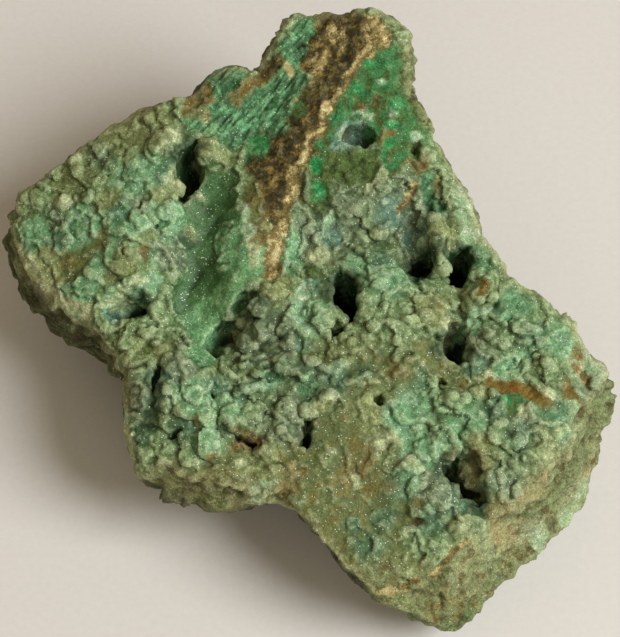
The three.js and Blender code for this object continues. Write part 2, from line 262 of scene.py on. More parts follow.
# Where each ground lies: a round patch is x, y and radius, a streak is two ends and its half width.
patches = {
    "sage": [(-30, -6, 4), (-24, -4, 3.5), (30, -8, 6), (36, -12, 5), (14, -4, 6), (22, -18, 5),
             (34, -26, 6), (40, -18, 5), (12, 10, 4), (4, -8, 5), (-8, -16, 6), (-20, -22, 5),
             (-28, -22, 4), (30, 0, 4), (-36, 22, 4), (22, -38, 5)],
    "grey": [(-34, 25, 2.2), (-27, 16, 1.4), (-22, 9, 2.0), (-41, 16, 1.6), (-20, -6, 1.6), (16, 12, 5),
             (5, 13, 4.5), (-10.4, -3.4, 3.4), (-5, -8, 4), (-4, -20, 4), (-26, -16, 4), (21, -32, 3.5),
             (28, -9, 3), (46, -16, 2.5), (32, -30, 3), (-21, -11, 2), (35, -22, 3), (2, -14, 3)],
    "spine": [(-9.4, 6.4, -13, 1.8, 1.8), (-13, 1.8, -17.2, -1.4, 2.4), (-17, -2, -17.2, -8, 1.7),
              (-11, 14, -12.4, 8, 1.0)],
    "mint": [(-27, 22, 5), (-28, 13, 5), (-38, 14, 3.5), (-22, 14, 2.4), (-13.6, 12.6, -13.2, 8, 1.2),
             (0.5, -4, 2.4), (13.5, 2, 3), (-3, 8, 2.2), (-18, -17, 2.6), (-15.6, -23, 2.2), (19, -18, 2.8),
             (18.5, -25, 2.2), (24.5, -21, 2.8), (28, 4, 2.4), (26.6, -5, 2), (-31, 3, -26, 4, 1.2),
             (29, -39, 2), (-12, -18, 2.4), (-38, 4, 2), (16, -30, 2), (33, -4, 2.4), (15, -20, 2.2),
             (-44, 15, 2), (-33, 9, 2), (8.5, 6, 1.8), (30, -14, 35, -11, 1.2), (41, -9, 2.4),
             (42, -22, 2)],
    "paleMint": [(12.4, 34, 0.6), (8.4, 29, 10.6, 27.6, 0.5), (14.4, 28.6, 0.5), (18.2, 25, 0.7),
                 (3, 12.6, 4.6, 15, 0.6), (27.5, 10, 26, 17, 1.1), (42.5, -30, 45.5, -26, 1.6),
                 (37, -33.5, 1.8), (-17, -15, 0.9), (-14.8, -22.4, 0.9), (47, -12, 1.4),
                 (-5, -29, -8, -30.5, 0.5), (12, 3.4, 1.3), (0.6, 1.2, 1.0), (-9.6, 11, -10.4, 16, 0.7)],
    "teal": [(-13, 27, -4, 35, 2.2), (-4, 27, -6, 34, 1.4), (-3, 38, 0, 44, 1.6), (-14, 36, -12, 38, 1.6),
             (20, 18, 20.8, 14, 1.0), (-5.5, -12.6, 2.0), (1, -15, 2), (39, -20, 1.6), (33, -3, 2),
             (-18, 30, -13, 31, 1.4), (-17, -9, 1.2)],
    "trough": [(-15.8, 18.5, -17.4, 7, 2.9), (-18, 7, -20, 3, 1.6), (-15, 21, 2)],
    # painted shade in the holes and vugs
    "paintedHoleShade": [(-19.8, 24, 2.4), (-13.4, -2.6, 0.8), (-14.6, -6.4, 0.8), (6.2, 1, 2.8), (24, -9, 3),
             (23.4, -28, 2.2), (26.5, -32.4, 2.0), (24.8, 5.6, 1.9), (18.8, 5.8, 1.8), (0, -22.4, 1.3),
             (-28, 1.8, 1.8), (-24.2, -12.5, -25.4, -20, 1.3), (-21, -21.6, 1.4), (-19.4, 12, 1.4)],
    "bluish": [(-10.6, -15.4, -5.6, -13.6, 1.0), (14, -30.5, 1.9), (10, -39.5, 2.0), (12, -35, 1.6),
               (9, -13, 1.6), (30, -19, 2.0), (34, -24, 2.0), (40, -20, 1.6), (27, -12, 1.6),
               (18, -14, 1.4), (-23.5, -13, 1.6), (-19, -21, 1.4), (-26, -21, 1.4), (20, -36, 2.0),
               (36, -9, 2.0), (24, -33, 1.6), (5, -13, 1.6), (0, -8, 1.2), (12, 7, 1.6), (-24, 21, 1.4),
               (30, -3, 1.6), (7, -36, 1.2), (-14, -14, 1.4), (-41, 13, 1.4), (-31, 15, 1.4), (1, 2, 1.0)],
    # painted shade in the bowl and recesses under lips
    "paintedRecessShade": [(-10.2, -2.2, 2.6), (-8, -0.4, 1.6), (-12, -5, 1.6), (-4, -6, 0.9), (-1.5, -12, 1.2),
              (-8, -10.4, 0.9), (-19.4, 19, 1.4), (12, 9.5, 1.2), (-24.6, -18, 0.9), (-12.8, -21.4, 0.8)],
    "olive": [(6, -30, 7), (8, -40, 6), (10, -12, 4), (5, -22, 4), (-8, 17, -8.6, 12, 1.4), (12, -32, 5),
              (-13, -28, 4), (-2, -26, 3), (18, -12, 3), (1, -34, 4), (22, -13, 2.4),
              (-40, 9, -34, 11, 1.6), (2, -9, 2.4)],
    "khaki": [(-24, 18, 1.8), (-33, 18, 1.6), (-26, 11, 1.5), (-19, 13, 1.2), (-38, 23, 2.6), (-28, 28, 4),
              (-43, 9, 2.6), (-30, 7.4, 2.4), (-23.4, -7, 1.6), (-21, 20, 1.6), (28, 0, 2.6), (22, 10, 1.6),
              (-15, 24.5, 2.4), (20, -3, 2.2), (27.4, -26.4, 2.2), (-6, -27, 3), (24, -36.6, 1.8),
              (16, -44, 2.4), (5, -10, 2.6), (37.4, -24.4, 2), (-27, -6, 2), (28, -16, 2), (-22, -29, 2.4),
              (10, -20, 2.4), (-5, 1, 1.6)],
    "pale": [(-23.2, 26, 1.8), (-22, 20, 1.1), (-40.3, 19, 1.1), (-38.5, 26.3, 0.8), (-17.4, 18.6, 0.6),
             (2, 8.6, 1.7), (11.3, -24.2, 0.9), (13.4, -22.8, 0.7), (16.6, -27.4, 1.3), (29, -14.2, 0.8),
             (38.4, -17.2, 0.8), (-8.6, 8.4, -8.8, 6.2, 0.7), (0.4, -18.8, 4.6, -17.0, 0.2),
             (7.6, -29.5, 0.6), (-32, 2.4, -27, 4.2, 0.6), (-47.4, 12.6, -41.5, 4.2, 0.5),
             (-42, 4.2, -36, 1, 0.5), (-10.8, -26.4, 0.9), (10.4, 17.4, 12.8, 19.8, 0.3),
             (40.6, -22.4, 0.6), (22.9, -4.4, 0.9), (11.9, 11.4, 0.7), (-30.2, -14, -28.4, -22, 0.5),
             (43, -12, 1.0), (38.6, -26, 1.2), (34.4, -20.6, 0.8), (25, -37, 0.8), (-27.6, 4.6, 0.6)],
    "rust": [(9, -26, 1.9), (6.4, -28.6, 1.2), (-8, 17, -8, 11, 1.2), (-11, 33.4, -6, 36.8, 1.0),
             (-17.6, 34, -18.6, 31, 1.2), (13.1, 25, 0.9), (18.8, 20.7, 0.7), (16.6, 21.6, 0.6),
             (8.6, -27.2, 1.8), (11, -30, 1.4), (-2.4, -27.6, 1.8), (-3.6, -30.2, 0.8), (31.4, -34.6, 1.5),
             (36, -30.6, 1.2), (22, -45.6, 0.8), (28.4, 1.4, 0.9), (21, 17.6, 0.7), (41.6, -16.6, 1.0),
             (43.4, -10.6, 0.8), (46.6, -21, 1.0), (1.6, 31.6, 2.6, 33, 0.9), (21, -3, 0.7),
             (18.2, -33.2, 0.6), (27.2, -26.6, 0.7), (-39.4, 9.6, 1.2), (-34, 10.6, 1.0), (-26.6, 8.6, 0.7),
             (13, -30, 1.0), (24.8, -15.4, 0.7), (-15.4, -25.8, 0.6), (-17.8, -20, 0.7), (20, -47, 1.2),
             (14.4, -13, 1.0)],
    "orange": [(28.6, -15.4, 33.4, -16.2, 0.5), (33.4, -16.2, 38.6, -19, 0.8), (13.2, 25, 0.5),
               (18.8, 20.7, 0.35), (-10.4, 33.6, -6.4, 36.6, 0.4), (43.6, -11, 0.5),
               (42, -16, 42.6, -17.4, 0.4), (30.4, -35.4, 0.7), (24, -46.4, 0.7),
               (28.6, 1.6, 27.4, -0.6, 0.4)],
    "tan": [(11, 44.6, 12, 40.6, 1.3), (10.8, 40, 8.2, 36.6, 0.7), (8.2, 36.6, 5, 31, 0.5),
            (5, 31, 1.6, 26, 0.45), (1.6, 26, -1.4, 20.6, 0.5), (-1.4, 20.6, -3, 15.5, 0.55),
            (-3.4, 15, -4.2, 12, 0.5), (-4.6, 10.4, -6.2, 4.4, 0.8), (3.6, 40, 1.2, 36, 0.6),
            (14.4, 14.6, 17.6, 18, 0.3), (4.4, 44, 5.6, 41, 0.9), (38, -29.4, 30, -36.4, 0.5),
            (43.4, -12.6, 44.4, -14, 0.5), (26, -38.4, 20, -43, 0.4), (18, -44.4, 12, -45.6, 0.4),
            (44.6, -23.6, 0.9), (-17, 30.6, 0.9)],
    "cream": [(10.2, 40, 6.8, 35.2, 0.35), (5.4, 32, 2.6, 28.4, 0.3), (1.2, 25.6, -1.2, 21.4, 0.3),
              (-5.0, 9, -6.0, 5.4, 0.5), (3.2, 39.4, 2, 36.6, 0.3), (-3.4, 38.4, -2.8, 36.4, 0.35),
              (11.6, 44, 1.0), (36.6, -31, 31, -36.8, 0.4)],
    "brown": [(4.4, 45.4, 6.2, 36, 2.7), (9, 44, 8, 40, 1.6), (5.4, 37, 1.0, 28.6, 2.0), (-6.4, 21.6, 1.7),
              (-3.4, 18.4, 1.8), (-5.6, 16.4, 1.0), (-1.4, 26, -4.6, 20, 2.8), (-7.6, 22.6, 1.4),
              (-4.8, 20, -5.6, 15, 1.4), (-5, 38.6, -7.6, 35.6, 1.0), (-17.6, 35, 1.2),
              (2.2, 41.6, 0.8, 37.6, 0.8), (-3, 28.6, 1.0), (-10.4, -22.8, -7, -23.2, 0.9),
              (-4.4, 25.4, 1.2), (9, 29.6, 12, 30.4, 0.6), (44.4, -18.6, 0.8), (17.4, -35.6, 0.6)],
    "black": [(7.0, 43.6, 6.4, 37.4, 0.8), (4.6, 35.4, 1.0), (2.6, 30.4, 0.6), (-3.4, 23.4, 0.8),
              (-6.4, 19.6, 0.7), (-4.4, 17, 0.5), (-0.8, 41.4, 0.7), (-8.2, 23.2, 0.5), (6, 33.6, 0.5),
              (-1.6, 27.4, 0.6)],
    "emerald": [(9, 33, 3.2), (14, 33, 3.2), (13, 28, 3.4), (17, 27, 2.6), (12.5, 38, 2.4), (7, 29.6, 1.6),
                (5, 27.4, 3.4, 24, 0.9), (14.6, 22.6, 1.6), (-8.0, 24.4, 1.3), (32.4, -18.4, 1.6),
                (-1.4, 30, 0.9), (15.8, 37, 1.6)],
    "vivid": [(8.2, 32.8, 0.9), (13.6, 26.6, 0.9), (15, 30.4, 0.8), (1.8, 21.2, 1.0), (-7.8, 24.6, 1.3),
              (10, 30, 0.6), (14, 23.8, 0.7), (2.2, 17.6, 0.8), (10.4, 37, 0.5), (31.4, -17.8, 0.5),
              (5.8, 28.6, 0.6)],
    "moss": [(4.4, 20.4, 2.4), (8.4, 20.6, 2.4), (12, 29.8, 1.0), (17.8, 33.6, 19, 28, 1.0), (2.4, 16, 1.6),
             (14, -47.4, 2.4), (24.6, -47.6, 2.0), (1, 4.6, 0.8), (-14, -31.4, 2.6), (32.6, -19.6, 1.0),
             (17, 23.6, 0.9), (45.4, -22, 1.0), (29.6, -2.4, 0.8)],
    "rind": [(44, -26, 2.6), (38, -31, 2.6), (32, -36, 3.0), (26, -41, 3.2), (20, -44.6, 2.6),
             (13, -44.4, 2.4), (34, -38, 2.4), (28, -43, 2.4), (47, -20, 1.6)],
    "blue": [(7, 25.4, 2.2), (5, 24, 1.0), (17.4, 11, 2.0), (14, 14, 2.0), (4, 11.6, 1.6),
             (-31.5, 0.2, 1.0)],
}

# Columns of a mix of grounds.
columns = {"tint": slice(0, 3), "fleck": slice(3, 6), "lumps": 6, "grain": 7, "fibre": 8, "sparkle": 9}

# How the patches meet.
blend = {
    "base": "sage",            # ground that shows where no patch reaches
    "baseWeight": 0.02,
    "wanders": ((3.1, 1.1, 0), (1.1, 0.6, 9)),  # width of the waves of an edge, their height and shift
    "reach": 0.85,
    "falloff": 2.4,
    "evenRadius": 5,           # a patch of this radius has a weight of 1, and a smaller one more
    "smallness": 1.3,
}

shape = {
    "node": "garnierite_specimen",
    "voxel": 0.34,             # millimetres between two points of the finished surface
    "blobRoughness": {"gap": 0.35, "knob": 0.4, "plate": 0.6, "strewn": 0.3},
    "blobGrain": 2.1,
    "above": 80,               # height to look down from
    "mouthReach": 3,           # how far round a gap the height of its mouth is felt for
    "knobFlatness": 0.55,
    "knobRise": 0.75,
    "plateLean": 8,            # degrees by which the near edge is raised
    "plateThickness": (0.5, 0.6),  # half of it, and how much more for each millimetre that a plate is proud
    "steepest": 0.7,           # a fall steeper than this is a hole or the rim
    "strewnCount": 500,        # places tried for small knobs all over the face
    "strewnArea": (50, 49),    # half widths
    "strewnClear": 2,          # how far from the rim they stay
    "strewnLowest": 8,
    "strewnSlope": 0.5,        # they grow only on faces that point up more than this
    "strewnSize": (0.6, 2.4),
    "strewnProud": (0.05, 0.5),
    "lipSpacings": (5.5, 2.4), # between the edges of lobes that overlap like scales, for two sizes
    "lipHeights": (1.25, 0.4),
    "lipTurn": 38,             # the lips drop towards the front left
    "lipWidth": 0.06,
    "lipWander": 1.1,
    "lipScallops": (0.12, 0.32),  # their depth and width, as shares of the spacing
    "lumpCells": (2.6, 1.1),   # widths of the two sizes of botryoid
    "lumpRadius": 0.55,
    "lumpHeights": (0.1, 0.08),
    "fibreCentre": (-5, 31),
    "fibreWidths": (0.7, 4.0), # across and along the fibrous streaks
    "fibreTurn": 48,
    "fibreHeight": 0.22,
    "grainWidth": 0.6,
    "grainHeight": 0.2,
    "rockWidth": 1.8,
    "rockHeight": 0.45,
    "flankSlope": (0.32, 0.56),   # a face of the plain block that points up less than this is flank
    "flankRelief": 0.9,
    "flankSoftening": 14,      # rounds
    "chipsFrom": (6, 18),      # the flank turns from dark rock with painted shade to pale chips between these x
    "gapMargin": 2.4,          # how far round its mouth a gap may have walls
    "wallDepth": 0.9,          # what is deeper than this in the plain block is a wall of a gap
    "wallFoot": 3,             # lower than this there are no gaps
    "layerTilt": (14, 35),     # degrees from level, and about Z
    "layerWaves": ((13.0, 3.0), (4.0, 0.8)),  # width and height
    "layerStretch": (0.55, 0.55, 1.7),
    "layerWidths": (5.0, 2.1),
    "baseFade": (0.2, 2.5),
    "mostTriangles": 196000,
    "thinHeights": (1.0, 12.0),
    "thinSlopes": (-0.7, 0.1),
    "thinLeast": 0.12,
    "thinFactor": 3.0,
    "seed": 7,
}


def deselect():
    bpy.ops.object.select_all(action="DESELECT")


def activate(thing):
    deselect()
    thing.select_set(True)
    bpy.context.view_layer.objects.active = thing


# A copy of the block from the frame, with its loose triangles merged.
def copyBlock():
    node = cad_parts[shape["node"]]
    block = node.copy()
    block.data = node.data.copy()
    block.data.materials.clear()
    block.parent = None
    bpy.context.collection.objects.link(block)
    block.name = "garnieriteBlock"
    activate(block)
    bpy.ops.object.mode_set(mode="EDIT")
    bpy.ops.mesh.select_all(action="SELECT")
    bpy.ops.mesh.remove_doubles(threshold=1e-6)
    bpy.ops.mesh.normals_make_consistent(inside=False)
    bpy.ops.object.mode_set(mode="OBJECT")
    return block


# The plain block as a tree in which the nearest face can be found.
def plainBlock():
    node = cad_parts[shape["node"]]
    return BVHTree.FromObject(node, bpy.context.evaluated_depsgraph_get())


# Height of a surface straight below a point of the plan, in millimetres, and the way it faces.
def groundUnder(tree, x, y):
    hit, normal, _, _ = tree.ray_cast(Vector((x, y, shape["above"])) * mm, Vector((0, 0, -1)))
    if hit is None:
        return None, None
    return hit.z / mm, normal


# The points and faces of a unit ball, which every blob starts from.
def ballShape(detail):
    deselect()
    bpy.ops.mesh.primitive_ico_sphere_add(subdivisions=detail, radius=1)
    ball = bpy.context.object
    points = np.array([vertex.co for vertex in ball.data.vertices])
    faces = np.array([face.vertices for face in ball.data.polygons])
    bpy.data.objects.remove(ball)
    return points, faces


def turned(degrees, axis="Z"):
    return Matrix.Rotation(math.radians(degrees), 3, axis)


# Many rough blobs of one kind as one mesh object. Each is its centre, its half sizes and how it is turned.
def blobsObject(name, blobs, kind, detail):
    roughness = shape["blobRoughness"][kind]
    points, faces = ballShape(detail)
    allPoints, allFaces = [], []
    for centre, size, placed in blobs:
        wobble = [noise.noise(Vector(p) * shape["blobGrain"] + Vector(centre)) for p in points]
        blob = points * (1 + roughness * np.array(wobble))[:, None] * np.array(size)
        allFaces.append(faces + len(points) * len(allPoints))
        allPoints.append(blob @ np.array(placed).T + np.array(centre))
    data = bpy.data.meshes.new(name)
    data.from_pydata((np.concatenate(allPoints) * mm).tolist(), [], np.concatenate(allFaces).tolist())
    thing = bpy.data.objects.new(name, data)
    bpy.context.collection.objects.link(thing)
    return thing


# Cuts the gaps and hollows. A gap's mouth is at the third highest of nine places, as some may be in a vug.
def cutGaps(block):
    tree = BVHTree.FromObject(block, bpy.context.evaluated_depsgraph_get())
    steps = (-shape["mouthReach"], 0, shape["mouthReach"])
    blobs = []
    for x, y, across, along, depth, turn in gaps:
        around = [groundUnder(tree, x + dx, y + dy)[0] for dx in steps for dy in steps]
        mouth = sorted(height for height in around if height)[-3]
        blobs.append(((x, y, mouth), (across, along, depth), turned(turn)))
    for x, y, across, along, depth, turn, sink in hollows:
        blobs.append(((x, y, groundUnder(tree, x, y)[0] - sink), (across, along, depth), turned(turn)))
    cutter = blobsObject("gapCutter", blobs, "gap", 3)
    activate(block)
    cut = block.modifiers.new("gaps", "BOOLEAN")
    cut.operation = "DIFFERENCE"
    cut.solver = "EXACT"
    cut.use_self = True
    cut.object = cutter
    bpy.ops.object.modifier_apply(modifier=cut.name)
    bpy.data.objects.remove(cutter)
    print("gaps cut:", len(gaps))


# Which points are walls of a gap: close to its mouth on the plan, and sunk in the block or facing its middle.
def wallsOfGaps(points, facing, sunk):
    walls = np.zeros(len(points), dtype=bool)
    margin = shape["gapMargin"]
    for x, y, across, along, _, turn in gaps:
        c, s = math.cos(math.radians(turn)), math.sin(math.radians(turn))
        dx, dy = points[:, 0] - x, points[:, 1] - y
        close = ((dx * c + dy * s) / (across + margin)) ** 2 + ((dy * c - dx * s) / (along + margin)) ** 2 < 1
        inward = dx * facing[:, 0] + dy * facing[:, 1] < 0
        walls |= close & (sunk | inward)
    return walls


def joinInto(block, things):
    activate(block)
    for thing in things:
        thing.select_set(True)
    bpy.ops.object.join()


# Places on the face at random, each with its height and how lumpy the ground is there.
def strewnPlaces(tree, count):
    places = []
    halfX, halfY = shape["strewnArea"]
    d = shape["strewnClear"]
    while len(places) < count:
        x, y = random.uniform(-halfX, halfX), random.uniform(-halfY, halfY)
        height, normal = groundUnder(tree, x, y)
        around = [groundUnder(tree, x + dx, y + dy)[0] or 0 for dx, dy in ((-d, 0), (d, 0), (0, -d), (0, d))]
        if height and min(around) > shape["strewnLowest"] and normal.z > shape["strewnSlope"]:
            places.append((x, y, height))
    lumps = groundMix(np.array(places))[:, columns["lumps"]]
    return [(*place, share) for place, share in zip(places, lumps) if random.random() < share]


def strewnKnobs(tree):
    blobs = []
    for x, y, height, share in strewnPlaces(tree, shape["strewnCount"]):
        radius = random.triangular(*shape["strewnSize"], shape["strewnSize"][0])
        thick = radius * shape["knobFlatness"]
        proud = thick * random.uniform(*shape["strewnProud"]) * share
        blobs.append(((x, y, height + proud - thick), (radius, radius, thick), turned(0)))
    return blobsObject("strewnKnobs", blobs, "strewn", 2)


# How the ground lies within reach of a point, as a turn from level. Holes and the rim are left out.
def groundTilt(tree, x, y, reach):
    middle, _ = groundUnder(tree, x, y)
    rows = [(0, 0, 0)]
    for step in range(8):
        dx, dy = reach * math.cos(step * math.pi / 4), reach * math.sin(step * math.pi / 4)
        height, _ = groundUnder(tree, x + dx, y + dy)
        if height and abs(height - middle) < shape["steepest"] * reach:
            rows.append((dx, dy, height - middle))
    rows = np.array(rows)
    slope = np.linalg.lstsq(rows[:, :2], rows[:, 2], rcond=None)[0]
    return Vector((0, 0, 1)).rotation_difference(Vector((-slope[0], -slope[1], 1))).to_matrix()


def addKnobs(block):
    tree = BVHTree.FromObject(block, bpy.context.evaluated_depsgraph_get())
    random.seed(shape["seed"])
    domes, flat = [], []
    for x, y, radius, proud in knobs:
        height, _ = groundUnder(tree, x, y)
        thick = radius * shape["knobFlatness"]
        lying = groundTilt(tree, x, y, radius)
        top = height + shape["knobRise"] * proud
        domes.append(((x, y, top - thick), (radius, radius, thick), lying))
    least, more = shape["plateThickness"]
    for x, y, across, along, proud, turn in plates:
        height, _ = groundUnder(tree, x, y)
        thick = least + more * proud
        lying = groundTilt(tree, x, y, max(across, along)) @ turned(turn) @ turned(-shape["plateLean"], "X")
        flat.append(((x, y, height + proud - thick), (across, along, thick), lying))
    added = [blobsObject("knobs", domes, "knob", 3), blobsObject("plates", flat, "plate", 4)]
    joinInto(block, added + [strewnKnobs(tree)])
    print("knobs added")


def remesh(block):
    activate(block)
    block.data.remesh_voxel_size = shape["voxel"] * mm
    block.data.use_remesh_preserve_volume = False
    bpy.ops.object.voxel_remesh()
    print("surface remeshed:", len(block.data.vertices))


def positions(mesh):
    points = np.empty(len(mesh.vertices) * 3)
    mesh.vertices.foreach_get("co", points)
    return points.reshape(-1, 3) / mm


def normals(mesh):
    values = np.empty(len(mesh.vertices) * 3)
    mesh.vertices.foreach_get("normal", values)
    return values.reshape(-1, 3)


# Mean of the points around each point, taken again and again, so that small relief goes.
def smoothed(mesh, values, rounds):
    ends = np.empty(len(mesh.edges) * 2, dtype=np.int32)
    mesh.edges.foreach_get("vertices", ends)
    a, b = ends.reshape(-1, 2).T
    count = len(mesh.vertices)
    share = np.bincount(a, minlength=count) + np.bincount(b, minlength=count) + 1.0
    out = values.copy()
    for _ in range(rounds):
        total = out.copy()
        for i in range(out.shape[1]):
            total[:, i] += np.bincount(a, out[b, i], count) + np.bincount(b, out[a, i], count)
        out = total / share[:, None]
    return out


def smoothstep(values, low, high):
    t = np.clip((values - low) / (high - low), 0, 1)
    return t * t * (3 - 2 * t)


# Noise at each point, as wide as the given width.
def noiseAt(points, width, shift=0.0):
    return np.array([noise.noise(Vector(p) / width + Vector((shift, 0, 0))) for p in points])


# Round bumps with sharp creases between them, like a crust of botryoids.
def bumpsAt(points, width):
    distances = np.array([noise.voronoi(Vector(p) / width)[0][0] for p in points])
    return 1 - (distances / shape["lumpRadius"]) ** 2


# Lobes that rise gently and then drop at a scalloped lip.
def lipsAt(points, spacing):
    turn = math.radians(shape["lipTurn"])
    along = (points[:, 0] * math.cos(turn) + points[:, 1] * math.sin(turn)) / spacing
    wander = noiseAt(points, shape["lipWander"] * spacing, shift=41)
    wander += 0.5 * noiseAt(points, 0.5 * spacing, shift=42)
    depth, share = shape["lipScallops"]
    part = (along + wander + depth * bumpsAt(points, share * spacing)) % 1
    width = shape["lipWidth"]
    return np.minimum(1 - part, part / width * (1 - width))


# Ridges that run across the plan at the turn of the fibres.
def fibresAt(points):
    c, s = math.cos(math.radians(shape["fibreTurn"])), math.sin(math.radians(shape["fibreTurn"]))
    across, along = shape["fibreWidths"]
    x, y = points[:, 0] - shape["fibreCentre"][0], points[:, 1] - shape["fibreCentre"][1]
    slid = np.stack([(x * c + y * s) / along, (y * c - x * s) / across, points[:, 2] / along], axis=1)
    return 1 - 4 * np.abs(noiseAt(slid, 1.0, shift=21)) + noiseAt(slid, 2.4, shift=22)


# Points of the tilted, wavy layers of the rock, close together across the layers.
def layersAt(points):
    tilt, turn = shape["layerTilt"]
    wavy = points.copy()
    (wideWidth, wideHeight), (fineWidth, fineHeight) = shape["layerWaves"]
    wavy[:, 2] += wideHeight * noiseAt(points, wideWidth, shift=51)
    wavy[:, 2] += fineHeight * noiseAt(points, fineWidth, shift=52)
    placed = turned(tilt, "X") @ turned(turn)
    return wavy @ np.array(placed).T * np.array(shape["layerStretch"])


def patchDistance(x, y, patch):
    if len(patch) == 3:
        return np.hypot(x - patch[0], y - patch[1])
    ax, ay, bx, by = patch[:4]
    along = ((x - ax) * (bx - ax) + (y - ay) * (by - ay)) / ((bx - ax) ** 2 + (by - ay) ** 2)
    along = np.clip(along, 0, 1)
    return np.hypot(x - ax - along * (bx - ax), y - ay - along * (by - ay))


# The mix of grounds at each point of the plan. A small patch counts for more than a wide one under it.
def groundMix(points):
    x, y = points[:, 0].copy(), points[:, 1].copy()
    for width, reach, shift in blend["wanders"]:
        waves = np.array([noise.noise_vector(Vector(p) / width + Vector((shift, 0, 0))) for p in points])
        x += reach * waves[:, 0]
        y += reach * waves[:, 1]
    mix = np.zeros((len(points), len(groundValues(blend["base"]))))
    total = np.zeros(len(points))
    for name, places in patches.items():
        weight = np.full(len(points), blend["baseWeight"] if name == blend["base"] else 0.0)
        for patch in places:
            radius = patch[-1]
            away = patchDistance(x, y, patch) / (blend["reach"] * radius)
            strength = (blend["evenRadius"] / radius) ** blend["smallness"]
            weight += strength * np.exp(-(away ** blend["falloff"]))
        total += weight
        mix += weight[:, None] * groundValues(name)
    return mix / total[:, None]


# One ground as a row of the columns.
def groundValues(name):
    ground = grounds[name]
    return np.array([*linear(ground["colour"]), *linear(ground["fleck"]), *ground["measures"]])


# How much each point belongs to the broken flanks and base, from 0 to 1, and its mix of grounds. It goes by
# the way that the plain block faces. The walls of a gap are crust.
def groundsOf(mesh, points, plain):
    nearest = [plain.find_nearest(Vector(p) * mm) for p in points]
    skin = np.array([place for place, _, _, _ in nearest]) / mm
    facing = np.array([normal for _, normal, _, _ in nearest])
    sunk = np.einsum("ij,ij->i", points - skin, facing) < -shape["wallDepth"]
    flank = 1 - smoothstep(facing[:, 2], *shape["flankSlope"])
    flank[wallsOfGaps(points, facing, sunk) & (points[:, 2] > shape["wallFoot"])] = 0
    flank = smoothed(mesh, flank[:, None], shape["flankSoftening"])[:, 0]
    share = flank[:, None]
    # the flank on the left is dark rock with painted shade, on the right pale chips
    right = smoothstep(points[:, 0] + 4 * noiseAt(points, 7.0, shift=31), *shape["chipsFrom"])[:, None]
    broken = groundValues("flank") * (1 - right) + groundValues("chips") * right
    return flank, groundMix(points) * (1 - share) + broken * share


def addRelief(block, plain):
    mesh = block.data
    points, outward = positions(mesh), normals(mesh)
    flank, mix = groundsOf(mesh, points, plain)
    lumps, grain, fibre = (mix[:, columns[name]] for name in ("lumps", "grain", "fibre"))
    lift = np.zeros(len(points))
    for width, height in zip(shape["lumpCells"], shape["lumpHeights"]):
        lift += height * lumps * bumpsAt(points, width)
    for spacing, height in zip(shape["lipSpacings"], shape["lipHeights"]):
        lift += height * np.clip(lumps - 0.1, 0, 0.8) * (1 - flank) ** 2 * lipsAt(points, spacing)
    fineGrain = np.minimum(grain, 1.2) * (1 - 0.5 * flank)
    lift += shape["grainHeight"] * fineGrain * noiseAt(points, shape["grainWidth"])
    rockGrain = np.maximum(grain - 0.5, 0.15)
    lift += shape["rockHeight"] * rockGrain * noiseAt(points, shape["rockWidth"], shift=4)
    lift += shape["fibreHeight"] * fibre * (1 - flank) * fibresAt(points)
    layers = layersAt(points)
    wide, fine = shape["layerWidths"]
    broken = np.abs(noiseAt(layers, wide, shift=2)) + 0.5 * np.abs(noiseAt(layers, fine, shift=3))
    lift += shape["flankRelief"] * flank * (broken * 2 - 0.5)
    lift *= smoothstep(points[:, 2], *shape["baseFade"])
    points += outward * lift[:, None]
    points[:, 2] = np.maximum(points[:, 2], 0)
    mesh.vertices.foreach_set("co", (points * mm).ravel())
    mesh.update()
    print("relief added")


# Thins the mesh to its limit, most of all near the foot and underneath.
def thin(block):
    mesh = block.data
    points = positions(mesh)
    group = block.vertex_groups.new(name="thinFirst")
    low = 1 - smoothstep(points[:, 2], *shape["thinHeights"])
    down = 1 - smoothstep(normals(mesh)[:, 2], *shape["thinSlopes"])
    for index, value in enumerate(np.clip(shape["thinLeast"] + low + down, 0, 1)):
        group.add([index], float(value), "REPLACE")
    activate(block)
    fewer = block.modifiers.new("fewer", "DECIMATE")
    triangles = sum(len(face.vertices) - 2 for face in mesh.polygons)
    fewer.ratio = min(1.0, shape["mostTriangles"] / triangles)
    fewer.vertex_group = group.name
    fewer.vertex_group_factor = shape["thinFactor"]
    fewer.use_collapse_triangulate = True
    bpy.ops.object.modifier_apply(modifier=fewer.name)
    block.vertex_groups.clear()
    print("triangles:", triangles, "thinned to", len(block.data.polygons))


paint = {
    "gain": (0.93, 0.975, 1.02),  # what every ground's colour is multiplied by
    # painted highlight: edges that stand out are made paler towards this colour
    "highlightColour": (196, 206, 170),
    "highlightShares": (0.5, 0.9),  # of that colour and of the ground's own
    # painted shade: creases and hollows are made darker towards this colour
    "paintedShade": (30, 52, 26),
    "shadeShares": (0.35, 0.25),
    "chroma": 1.12,
    "luma": (0.21, 0.72, 0.07),
    "highlightStrength": 0.55,
    "shadeStrength": 0.78,
    "reliefRounds": (4, 40),   # rounds of smoothing against which fine and coarse relief are measured
    "proudNear": (0.03, 0.16), # millimetres of fine relief from which an edge gets a painted highlight
    # coarse relief from which a broad dome gets a weaker painted highlight
    "proudFar": (0.2, 1.1),
    "proudFarShare": 0.2,
    # millimetres sunk below the fine and the coarse smoothing, from which painted shade starts
    "sunkNear": (0.03, 0.22),
    "sunkNearShare": 0.45,
    "sunkFar": (0.15, 1.1),
    "bareHighlight": 0.25,          # how strong the painted highlight on an edge is where there is no crust
    "mottles": ((0.22, 1.4, 11), (0.16, 0.5, 13)),  # strength, width and shift
    "rim": (168, 162, 120),
    "rimStrength": 0.55,
    "rimHeights": (8, 16),     # the rim is pale above these
}


